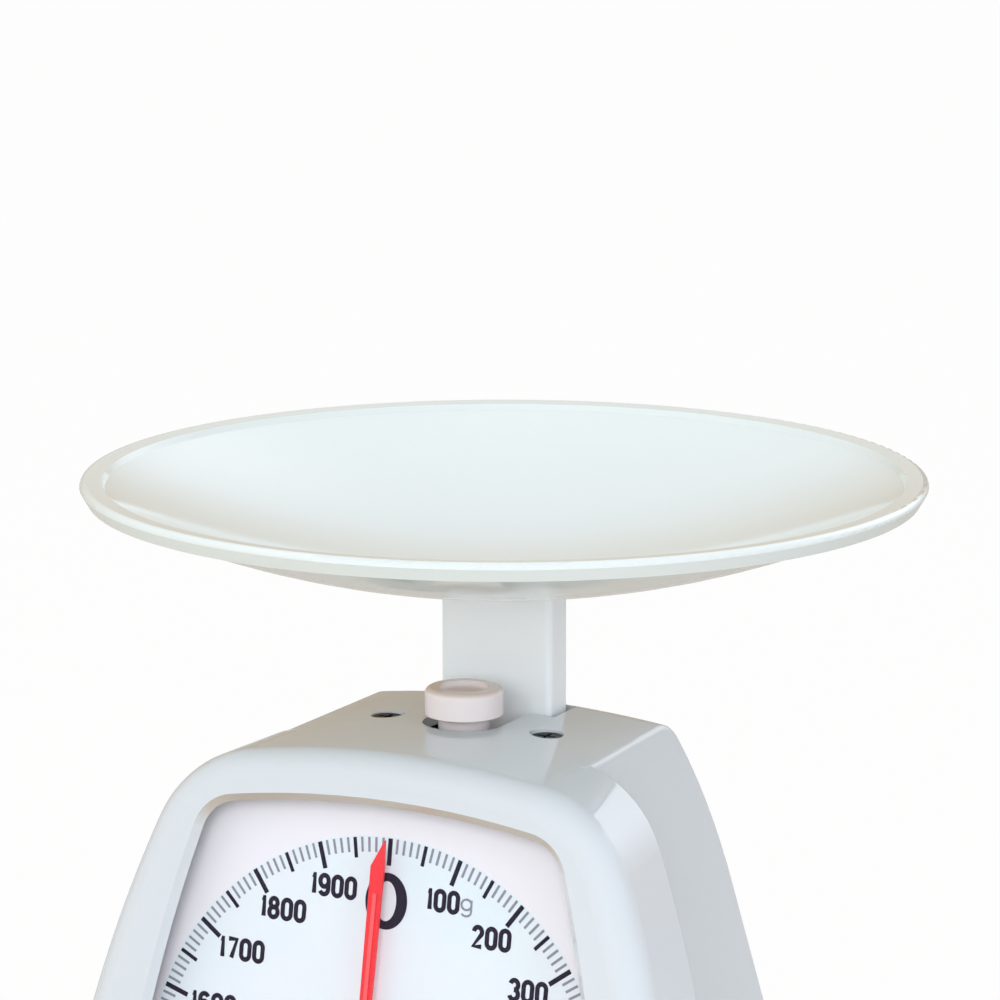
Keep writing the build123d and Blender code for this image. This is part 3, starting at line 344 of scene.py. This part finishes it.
class DialPrint(bpy.types.PropertyGroup):
    """Sizes and colours of what is printed on the dial."""

    tick_outer: bpy.props.FloatProperty(
        name="Tick circle", description="Radius of the outer ends of the ticks", default=62.2 * MM,
        unit="LENGTH"
    )
    major_length: bpy.props.FloatProperty(
        name="Long tick", description="Length of the ticks at the numbers", default=6.6 * MM,
        unit="LENGTH"
    )
    major_width: bpy.props.FloatProperty(
        name="Long tick width", description="Width of the ticks at the numbers", default=1.2 * MM,
        unit="LENGTH"
    )
    middle_length: bpy.props.FloatProperty(
        name="Middle tick", description="Length of the ticks halfway between numbers", default=5.0 * MM,
        unit="LENGTH"
    )
    middle_width: bpy.props.FloatProperty(
        name="Middle tick width", description="Width of the halfway ticks", default=0.95 * MM, unit="LENGTH"
    )
    minor_length: bpy.props.FloatProperty(
        name="Short tick", description="Length of the finest ticks", default=3.6 * MM, unit="LENGTH"
    )
    minor_width: bpy.props.FloatProperty(
        name="Short tick width", description="Width of the finest ticks", default=0.65 * MM, unit="LENGTH"
    )
    steps: bpy.props.IntProperty(
        name="Numbers", description="Numbered steps in a full turn", default=20, min=4
    )
    step_grams: bpy.props.IntProperty(
        name="Step", description="Grams between numbers", default=100, min=10
    )
    number_height: bpy.props.FloatProperty(
        name="Number height", description="Height of the numbers", default=5.8 * MM, unit="LENGTH"
    )
    number_right: bpy.props.FloatProperty(
        name="Number reach sideways", description="Centre of the numbers at the sides", default=48.2 * MM,
        unit="LENGTH"
    )
    number_up: bpy.props.FloatProperty(
        name="Number reach upwards", description="Centre of the numbers above and below",
        default=51.4 * MM, unit="LENGTH"
    )
    number_shift: bpy.props.FloatProperty(
        name="Number shift", description="Shift of all numbers to the right", default=0.5 * MM,
        unit="LENGTH"
    )
    digit_width: bpy.props.FloatProperty(
        name="Digit width", description="Width of one digit", default=3.45 * MM, unit="LENGTH"
    )
    digit_gap: bpy.props.FloatProperty(
        name="Digit gap", description="Gap between digits", default=0.20 * MM, unit="LENGTH"
    )
    stroke: bpy.props.FloatProperty(
        name="Stroke", description="Width of the numbers' strokes", default=1.18 * MM, unit="LENGTH"
    )
    zero_size: bpy.props.FloatVectorProperty(
        name="Zero size", description="Width and height of the large zero",
        default=(11.4 * MM, 13.8 * MM), size=2, unit="LENGTH"
    )
    zero_rim: bpy.props.FloatVectorProperty(
        name="Zero stroke", description="Stroke of the large zero at its sides and above",
        default=(3.0 * MM, 2.05 * MM), size=2, unit="LENGTH"
    )
    zero_up: bpy.props.FloatProperty(
        name="Zero centre", description="Centre of the large zero above the dial's centre",
        default=47.0 * MM, unit="LENGTH"
    )
    unit_size: bpy.props.FloatVectorProperty(
        name="Unit size", description="Width and height of the unit's letter",
        default=(3.2 * MM, 4.6 * MM), size=2, unit="LENGTH"
    )
    unit_shift: bpy.props.FloatVectorProperty(
        name="Unit place", description="Centre of the unit's letter from the centre of the first number",
        default=(6.2 * MM, -0.8 * MM), size=2, unit="LENGTH"
    )
    black: bpy.props.FloatVectorProperty(
        name="Black ink", description="Long ticks and numbers", default=ink(28, 16, 40), size=3,
        subtype="COLOR"
    )
    grey: bpy.props.FloatVectorProperty(
        name="Grey ink", description="Fine ticks and the unit", default=ink(136, 137, 150), size=3,
        subtype="COLOR"
    )
    inside: bpy.props.FloatVectorProperty(
        name="Disc", description="Board inside the ticks", default=ink(226, 238, 244), size=3,
        subtype="COLOR"
    )
    outside: bpy.props.FloatVectorProperty(
        name="Field", description="Board outside the ticks", default=ink(240, 238, 244), size=3,
        subtype="COLOR"
    )


class ShellLook(bpy.types.PropertyGroup):
    """Colours and gloss of the moulded parts."""

    housing: bpy.props.FloatVectorProperty(
        name="Housing", description="Housing colour", default=ink(207, 212, 215), size=3, subtype="COLOR"
    )
    dish: bpy.props.FloatVectorProperty(
        name="Dish", description="Dish colour", default=ink(217, 223, 219), size=3, subtype="COLOR"
    )
    # Painted light: the post is the housing's white plastic, made lighter to stand in for light lost in the
    # dish's shade.
    lit_post: bpy.props.FloatVectorProperty(
        name="Post", description="Post colour", default=ink(242, 245, 245), size=3, subtype="COLOR"
    )
    knob: bpy.props.FloatVectorProperty(
        name="Knob", description="Knob colour", default=ink(232, 222, 220), size=3, subtype="COLOR"
    )
    base: bpy.props.FloatVectorProperty(
        name="Base", description="Base plate colour", default=ink(206, 205, 204), size=3, subtype="COLOR"
    )
    rubber: bpy.props.FloatVectorProperty(
        name="Feet", description="Rubber colour", default=ink(52, 52, 54), size=3, subtype="COLOR"
    )
    pointer: bpy.props.FloatVectorProperty(
        name="Pointer", description="Pointer colour", default=ink(248, 44, 54), size=3, subtype="COLOR"
    )
    gloss: bpy.props.FloatProperty(
        name="Roughness", description="Roughness of the glossy mouldings", default=0.06, min=0.02, max=1.0,
        subtype="FACTOR"
    )
    peel: bpy.props.FloatProperty(
        name="Peel", description="Depth of the orange peel in millimetres", default=0.003, min=0.0, max=0.1
    )


class StudioLook(bpy.types.PropertyGroup):
    """Lamps, floor and camera."""

    key: bpy.props.FloatProperty(
        name="Key lamp", description="Power of the front lamp", default=8.8, unit="POWER"
    )
    top: bpy.props.FloatProperty(
        name="Top lamp", description="Power of the lamp overhead", default=3.6, unit="POWER"
    )
    fill: bpy.props.FloatProperty(
        name="Fill lamp", description="Power of the left lamp", default=5.0, unit="POWER"
    )
    side: bpy.props.FloatProperty(
        name="Side lamp", description="Power of the right strip", default=6.0, unit="POWER"
    )
    rim: bpy.props.FloatProperty(
        name="Rim glow", description="Strength of the soft glow high up behind the scale", default=1.6,
        min=0.0
    )
    world: bpy.props.FloatProperty(
        name="Surround", description="Strength of the surround", default=0.80, min=0.0
    )
    air: bpy.props.FloatVectorProperty(
        name="Surround colour", description="Colour of the surround", default=ink(246, 249, 255), size=3,
        subtype="COLOR"
    )
    haze: bpy.props.FloatVectorProperty(
        name="Backdrop colour", description="Colour of the surround low down behind the scale",
        default=ink(212, 183, 142), size=3, subtype="COLOR"
    )
    white: bpy.props.FloatProperty(
        name="White floor", description="How white the camera sees the floor", default=0.97, min=0.0,
        max=1.0, subtype="FACTOR"
    )
    floor: bpy.props.FloatVectorProperty(
        name="Floor", description="Floor colour", default=ink(204, 197, 186), size=3, subtype="COLOR"
    )
    lens: bpy.props.FloatProperty(
        name="Lens", description="Focal length in millimetres", default=186.37, min=20.0
    )
    turn: bpy.props.FloatProperty(
        name="Turn", description="Camera's turn round the scale", default=math.radians(26.934),
        unit="ROTATION"
    )
    tilt: bpy.props.FloatProperty(
        name="Tilt", description="How far the camera looks down", default=math.radians(11.448),
        unit="ROTATION"
    )
    place: bpy.props.FloatVectorProperty(
        name="Place", description="Place of the camera", default=(0.56920, -1.12259, 0.46749), size=3,
        unit="LENGTH"
    )


class FinishHousing(bpy.types.Operator):
    """Gives the housing, its base plate and feet their plastics and rubber"""

    bl_idname = "kitchen_scale.finish_housing"
    bl_label = "Finish Housing"

    def execute(self, context):
        look = context.scene.scale_shell
        # The housing's downward faces, the window's top bevel among them, get painted shade.
        shell = moulded("housing_gloss", tuple(look.housing), look.gloss, look.peel, dust=1.0, under_shade=0.6)
        dress(shell, "housing")
        dress(grained("base_grain", tuple(look.base), rough_at=0.55, grain=0.05), "base_plate")
        rubber = grained("foot_rubber", tuple(look.rubber), rough_at=0.72, grain=0.04)
        dress(rubber, "rubber_feet", "overload_stop")
        return {"FINISHED"}


class FinishDish(bpy.types.Operator):
    """Gives the dish, its post and the knob their glossy plastics"""

    bl_idname = "kitchen_scale.finish_dish"
    bl_label = "Finish Dish, Post and Knob"

    def execute(self, context):
        look = context.scene.scale_shell
        dish = moulded("dish_gloss", tuple(look.dish), look.gloss + 0.03, look.peel, dust=0.5)
        dress(dish, "weighing_dish")
        # The post's lighter colour is painted light for the shade under the dish.
        lit_post = moulded("post_gloss", tuple(look.lit_post), look.gloss + 0.05, look.peel, dust=0.2)
        dress(lit_post, "dish_post")
        knob = tuple(look.knob)
        # The knob gets painted shade: warm brown on its downward faces and beige on its upper faces.
        satin = moulded("knob_satin", knob, look.gloss + 0.10, look.peel, dust=0.2, under_shade=0.3, top_shade=0.5)
        dress(satin, "zero_knob")
        return {"FINISHED"}


class FinishWindow(bpy.types.Operator):
    """Makes the window clear"""

    bl_idname = "kitchen_scale.finish_window"
    bl_label = "Finish Window"

    def execute(self, context):
        dress(clear("window_clear", ink(120, 122, 128), cover=0.03), "window_lens")
        return {"FINISHED"}


class PrintTicks(bpy.types.Operator):
    """Prints the dial board and the three kinds of tick round it"""

    bl_idname = "kitchen_scale.print_ticks"
    bl_label = "Print Ticks"

    def execute(self, context):
        look = context.scene.scale_dial
        edge = look.tick_outer / MM + disc_margin
        dress(dial_card("dial_card", tuple(look.inside), tuple(look.outside), edge), "dial_board")
        black = printed("black_ink", tuple(look.black), wear=0.12)
        grey = printed("grey_ink", tuple(look.grey), wear=0.35)
        fine = ticks_per_step
        kinds = {
            "dial_long_ticks": (look.major_length, look.major_width, black, lambda k: k % fine == 0),
            "dial_middle_ticks": (
                look.middle_length, look.middle_width, black, lambda k: k % fine == fine // 2
            ),
            "dial_short_ticks": (look.minor_length, look.minor_width, grey, lambda k: k % (fine // 2) != 0),
        }
        count = look.steps * fine
        for name, (length, width, material, wanted) in kinds.items():
            def ticks(made, length=length, width=width, wanted=wanted):
                for k in filter(wanted, range(count)):
                    angle = Matrix.Rotation(-2 * math.pi * k / count, 4, "Z")
                    place = Matrix.Translation((0, look.tick_outer - length / 2, 0))
                    size = Matrix.Diagonal((width, length, 1, 1))
                    stood = on_dial(0, 0, print_lift) @ angle @ place @ size
                    bmesh.ops.create_grid(made, x_segments=1, y_segments=1, size=0.5, matrix=stood)

            new_piece(name, ticks, material, "base_unit")
        return {"FINISHED"}


def bow(centre_up, reach, rise, start, end):
    """Points of an elliptical arc round a centre on the middle line; angles in degrees."""
    count = max(4, round(abs(end - start) / 15))
    turns = [math.radians(start + (end - start) * k / count) for k in range(count + 1)]
    return [(reach * math.cos(turn), centre_up + rise * math.sin(turn)) for turn in turns]


def drawn_strokes(letter):
    """Middle lines of a letter's strokes in a cell from -1 to 1, and whether each is a closed loop."""
    return {
        "0": [(bow(0.48, 1, 0.52, 0, 180) + bow(-0.48, 1, 0.52, 180, 360), True)],
        "1": [([(-0.9, 0.62), (-0.1, 1.0), (0.0, 1.0), (0.0, -1.0)], False)],
        "2": [(bow(0.48, 0.95, 0.52, 175, -25) + [(-0.95, -1), (1, -1)], False)],
        "3": [(bow(0.5, 0.9, 0.5, 165, -90), False), (bow(-0.48, 1, 0.52, 90, -165), False)],
        "4": [([(0.45, -1), (0.45, 1), (-1, -0.42), (1, -0.42)], False)],
        "5": [([(0.85, 1), (-0.75, 1), (-0.85, 0.08)] + bow(-0.36, 1, 0.64, 125, -160), False)],
        "6": [(bow(0.45, 1, 0.55, 25, 180) + [(-1, -0.4)], False), (bow(-0.4, 1, 0.6, 0, 360), True)],
        "7": [([(-1, 1), (1, 1), (-0.15, -1)], False)],
        "8": [(bow(0.52, 0.85, 0.48, 0, 360), True), (bow(-0.46, 1, 0.54, 0, 360), True)],
        "9": [(bow(0.4, 1, 0.6, 0, 360), True), ([(1, 0.4)] + bow(-0.45, 1, 0.55, 0, -155), False)],
        "g": [(bow(0.35, 1, 0.62, 0, 360), True), ([(1, 0.95)] + bow(-0.5, 1, 0.5, 0, -150), False)],
    }[letter]


def glyph(letter, width, height, stroke):
    """Flat mesh of one letter of an even stroke, its lower left corner at the origin."""
    curve = bpy.data.curves.new("glyph", "CURVE")
    curve.dimensions = "3D"
    curve.bevel_depth = stroke / 2
    curve.bevel_resolution = 2
    curve.use_fill_caps = True
    for points, closed in drawn_strokes(letter):
        spline = curve.splines.new("POLY")
        points = points[:-1] if closed else points
        spline.points.add(len(points) - 1)
        for point, (right, up) in zip(spline.points, points):
            across = (right + 1) / 2 * (width - stroke) + stroke / 2
            along = (up + 1) / 2 * (height - stroke) + stroke / 2
            point.co = (across, along, 0, 1)
        spline.use_cyclic_u = closed
    drawn = bpy.data.objects.new("glyph", curve)
    bpy.context.scene.collection.objects.link(drawn)
    bpy.context.view_layer.update()
    mesh = bpy.data.meshes.new_from_object(drawn.evaluated_get(bpy.context.evaluated_depsgraph_get()))
    bpy.data.objects.remove(drawn)
    bpy.data.curves.remove(curve)
    mesh.transform(Matrix.Diagonal((1, 1, print_thickness * MM / stroke, 1)))
    return mesh


def set_word(made, word, glyphs, widths, gap, height, centre):
    """Adds a word to the bmesh with its middle at a place on the dial, in metres."""
    total = sum(widths[c] for c in word) + gap * (len(word) - 1)
    left = centre[0] - total / 2
    for letter in word:
        before = set(made.verts)
        made.from_mesh(glyphs[letter])
        fresh = [v for v in made.verts if v not in before]
        place = on_dial(left / MM, (centre[1] - height / 2) / MM, print_lift)
        bmesh.ops.transform(made, matrix=place, verts=fresh)
        left += widths[letter] + gap


def add_ring(made, size, rim, centre_up):
    """Adds a flat oval ring whose rim is wider at the sides than above and below."""
    for inset in (0, 1):
        oval = Matrix.Diagonal((size[0] / 2 - inset * rim[0], size[1] / 2 - inset * rim[1], 1, 1))
        place = on_dial(0, centre_up / MM, print_lift) @ oval
        bmesh.ops.create_circle(made, segments=72, radius=1.0, matrix=place)
    bmesh.ops.bridge_loops(made, edges=made.edges[:])


class PrintNumbers(bpy.types.Operator):
    """Prints the numbers of the dial and the unit beside the first one"""

    bl_idname = "kitchen_scale.print_numbers"
    bl_label = "Print Numbers"

    def execute(self, context):
        look = context.scene.scale_dial
        widths = dict.fromkeys("0123456789", look.digit_width)
        widths["1"] = look.digit_width * one_share
        glyphs = {c: glyph(c, widths[c], look.number_height, look.stroke) for c in widths}

        def numbers(made):
            for k in range(1, look.steps):
                angle = 2 * math.pi * k / look.steps
                right = look.number_right * math.sin(angle) + look.number_shift
                centre = (right, look.number_up * math.cos(angle))
                word = str(k * look.step_grams)
                set_word(made, word, glyphs, widths, look.digit_gap, look.number_height, centre)

        def large_zero(made):
            add_ring(made, look.zero_size, look.zero_rim, look.zero_up)

        def unit(made):
            angle = 2 * math.pi / look.steps
            right = look.number_right * math.sin(angle) + look.number_shift + look.unit_shift[0]
            up = look.number_up * math.cos(angle) + look.unit_shift[1]
            width, height = look.unit_size
            thin = {"g": glyph("g", width, height, unit_share * look.stroke)}
            set_word(made, "g", thin, {"g": width}, 0, height, (right, up))

        black = bpy.data.materials["black_ink"]
        new_piece("dial_numbers", numbers, black, "base_unit")
        new_piece("dial_zero", large_zero, black, "base_unit")
        new_piece("dial_unit", unit, bpy.data.materials["grey_ink"], "base_unit")
        return {"FINISHED"}


class FinishPointer(bpy.types.Operator):
    """Colours the pointer and its cap"""

    bl_idname = "kitchen_scale.finish_pointer"
    bl_label = "Finish Pointer"

    def execute(self, context):
        colour = tuple(context.scene.scale_shell.pointer)
        # The lighter red is a painted highlight on the pointer's rib.
        dress(enamel("pointer_red", colour, ink(250, 140, 140)), "pointer", "pointer_cap")
        return {"FINISHED"}


class FinishMetalwork(bpy.types.Operator):
    """Gives the mechanism and every screw their metals"""

    bl_idname = "kitchen_scale.finish_metalwork"
    bl_label = "Finish Metalwork"

    def execute(self, context):
        sheet = plated("plated_sheet", ink(190, 190, 186), ink(206, 200, 176), 0.30)
        dress(sheet, "mechanism_frame", "movement_plate", "load_carriage", "rack_arm", "spring_hanger")
        lever = plated("plated_lever", ink(184, 186, 190), ink(200, 196, 182), 0.26, (0.08, 1.0, 1.0))
        dress(lever, "upper_lever", "lower_lever", "spring_anchors", "zero_screw")
        drawn = plated("drawn_steel", ink(150, 151, 155), ink(172, 172, 174), 0.18, (0.3, 1.0, 1.0))
        dress(drawn, "left_spring", "right_spring", "lever_axles", "upper_lever_pin", "lower_lever_pin")
        dress(drawn, "rack_pin", "rack_guide", "pointer_arbor", "screw_clip")
        dark = plated("dark_screw", ink(38, 36, 38), ink(58, 54, 52), 0.36, (1.0, 1.0, 1.0))
        dress(dark, "top_screws")
        screw = plated("plated_screw", ink(196, 194, 188), ink(206, 198, 170), 0.28, (1.0, 1.0, 1.0))
        dress(screw, "base_screws", "frame_screws", "movement_screws", "bridge_screws", "dial_screws")
        dress(screw, "post_screws", "arm_screws")
        brass = turned("turned_brass", ink(214, 178, 98), 0.24)
        dress(brass, "arbor_bridge", "bridge_pillars", "dial_pillars", "arbor_bushes", "rack", "pinion")
        return {"FINISHED"}


def area_lamp(name, power, size, place, colour):
    """Soft rectangular lamp that points at the scale and isn't mirrored in glossy surfaces."""
    lamp = bpy.data.lights.new(name, "AREA")
    lamp.shape = "RECTANGLE"
    lamp.size, lamp.size_y = size
    lamp.energy = power
    lamp.color = colour
    holder = bpy.data.objects.new(name, lamp)
    holder.location = place
    holder.rotation_euler = (Vector(lamp_target) - Vector(place)).to_track_quat("-Z", "Y").to_euler()
    holder.visible_glossy = False
    bpy.context.scene.collection.objects.link(holder)


# Direction of the soft glow behind the scale, and the lamps' target, sizes and places, in metres
glow_towards = tuple(Vector((0.2, 0.87, 0.45)).normalized())
lamp_target = (0.0, 0.0, 0.12)
key_size, key_place = (0.9, 0.9), (0.35, -1.35, 0.65)
top_size, top_place = (1.3, 1.3), (0.1, 0.15, 1.5)
fill_size, fill_place = (1.0, 1.2), (-1.25, -0.7, 0.6)
side_size, side_place = (0.35, 1.3), (1.3, -0.5, 0.45)
floor_radius = 9.0


class SetStage(bpy.types.Operator):
    """Makes the pale floor, the lamps and the camera"""

    bl_idname = "kitchen_scale.set_stage"
    bl_label = "Set Stage"

    def surround(self, look):
        """White for the camera; else pale, beige low down behind, with a soft glow higher up there."""
        mixed = Finish("surround", bpy.data.worlds.new("surround"))
        back = mixed.node("ShaderNodeSeparateXYZ", {}, {0: mixed.place}, take="Y")
        height = mixed.node("ShaderNodeSeparateXYZ", {}, {0: mixed.place}, take="Z")
        near = mixed.vector("DOT_PRODUCT", mixed.place, glow_towards, take="Value")
        glow = mixed.band(near, 0.84, 0.985)
        low = mixed.band(back, 0.1, 0.5) * mixed.band(height, 0.3, 0.6, 1.0, 0.0) * (1.0 - glow)
        air = mixed.mix(low, tuple(look.air), tuple(look.haze))
        power = look.world + glow * glow * look.rim
        lit = mixed.node("ShaderNodeBackground", {}, {"Color": air, "Strength": power})
        white = mixed.node("ShaderNodeBackground", {}, {"Color": (1, 1, 1, 1), "Strength": 1.0})
        camera = mixed.node("ShaderNodeLightPath", take="Is Camera Ray")
        through = mixed.node("ShaderNodeLightPath", take="Is Transmission Ray")
        joined = mixed.node("ShaderNodeMixShader", {}, {0: camera.most(through), 1: lit, 2: white})
        return mixed.done(joined, "ShaderNodeOutputWorld")

    def execute(self, context):
        look = context.scene.scale_studio
        scene = context.scene
        finish = Finish("floor_white")
        seen = finish.node("ShaderNodeLightPath", take="Is Camera Ray")
        grain = finish.noise(900, 3.0)
        card = finish.mix(grain, shade_of(tuple(look.floor), 0.99), tuple(look.floor))
        lit = finish.shader(Base_Color=card, Roughness=0.75 + 0.05 * grain)
        glow = finish.node("ShaderNodeEmission", {}, {"Color": (1, 1, 1, 1), "Strength": 1.0})
        blend = finish.node("ShaderNodeMixShader", {}, {0: seen * look.white, 1: lit, 2: glow})
        mesh = bpy.data.meshes.new("floor")
        made = bmesh.new()
        bmesh.ops.create_circle(made, cap_ends=True, segments=96, radius=floor_radius)
        made.to_mesh(mesh)
        made.free()
        mesh.materials.append(finish.done(blend))
        floor = bpy.data.objects.new("floor", mesh)
        scene.collection.objects.link(floor)
        scene.world = self.surround(look)
        area_lamp("key_lamp", look.key, key_size, key_place, (0.95, 0.98, 1.0))
        area_lamp("top_lamp", look.top, top_size, top_place, (0.97, 0.99, 1.0))
        area_lamp("fill_lamp", look.fill, fill_size, fill_place, (1.0, 0.98, 0.95))
        area_lamp("side_lamp", look.side, side_size, side_place, (0.66, 0.77, 1.0))
        camera = bpy.data.cameras.new("camera")
        camera.lens = look.lens
        camera.sensor_width = 36.0
        camera.clip_start = 0.05
        camera.clip_end = 40.0
        holder = bpy.data.objects.new("camera", camera)
        holder.location = look.place
        holder.rotation_euler = (math.pi / 2 - look.tilt, 0.0, look.turn)
        scene.collection.objects.link(holder)
        scene.camera = holder
        scene.view_settings.view_transform = "Standard"
        return {"FINISHED"}


operators = (
    FinishHousing, FinishDish, FinishWindow, PrintTicks, PrintNumbers, FinishPointer, FinishMetalwork,
    SetStage,
)


class ScalePanel(bpy.types.Panel):
    """Panel that lists the looks of the kitchen scale"""

    bl_idname = "VIEW3D_PT_kitchen_scale"
    bl_label = "Kitchen Scale"
    bl_space_type = "VIEW_3D"
    bl_region_type = "UI"
    bl_category = "Kitchen Scale"

    def draw(self, context):
        layout = self.layout
        for operator in operators:
            layout.operator(operator.bl_idname)
        for group in (context.scene.scale_shell, context.scene.scale_dial, context.scene.scale_studio):
            box = layout.box()
            for key in group.bl_rna.properties.keys():
                if key not in ("rna_type", "name"):
                    box.prop(group, key)


classes = (DialPrint, ShellLook, StudioLook, *operators, ScalePanel)


def register():
    for made in classes:
        bpy.utils.register_class(made)
    bpy.types.Scene.scale_dial = bpy.props.PointerProperty(type=DialPrint)
    bpy.types.Scene.scale_shell = bpy.props.PointerProperty(type=ShellLook)
    bpy.types.Scene.scale_studio = bpy.props.PointerProperty(type=StudioLook)


def unregister():
    del bpy.types.Scene.scale_studio
    del bpy.types.Scene.scale_shell
    del bpy.types.Scene.scale_dial
    for made in reversed(classes):
        bpy.utils.unregister_class(made)


def main():
    register()
    steps = bpy.ops.kitchen_scale
    steps.finish_housing()
    steps.finish_dish()
    steps.finish_window()
    steps.print_ticks()
    steps.print_numbers()
    steps.finish_pointer()
    steps.finish_metalwork()
    steps.set_stage()


if __name__ == "__main__":
    main()
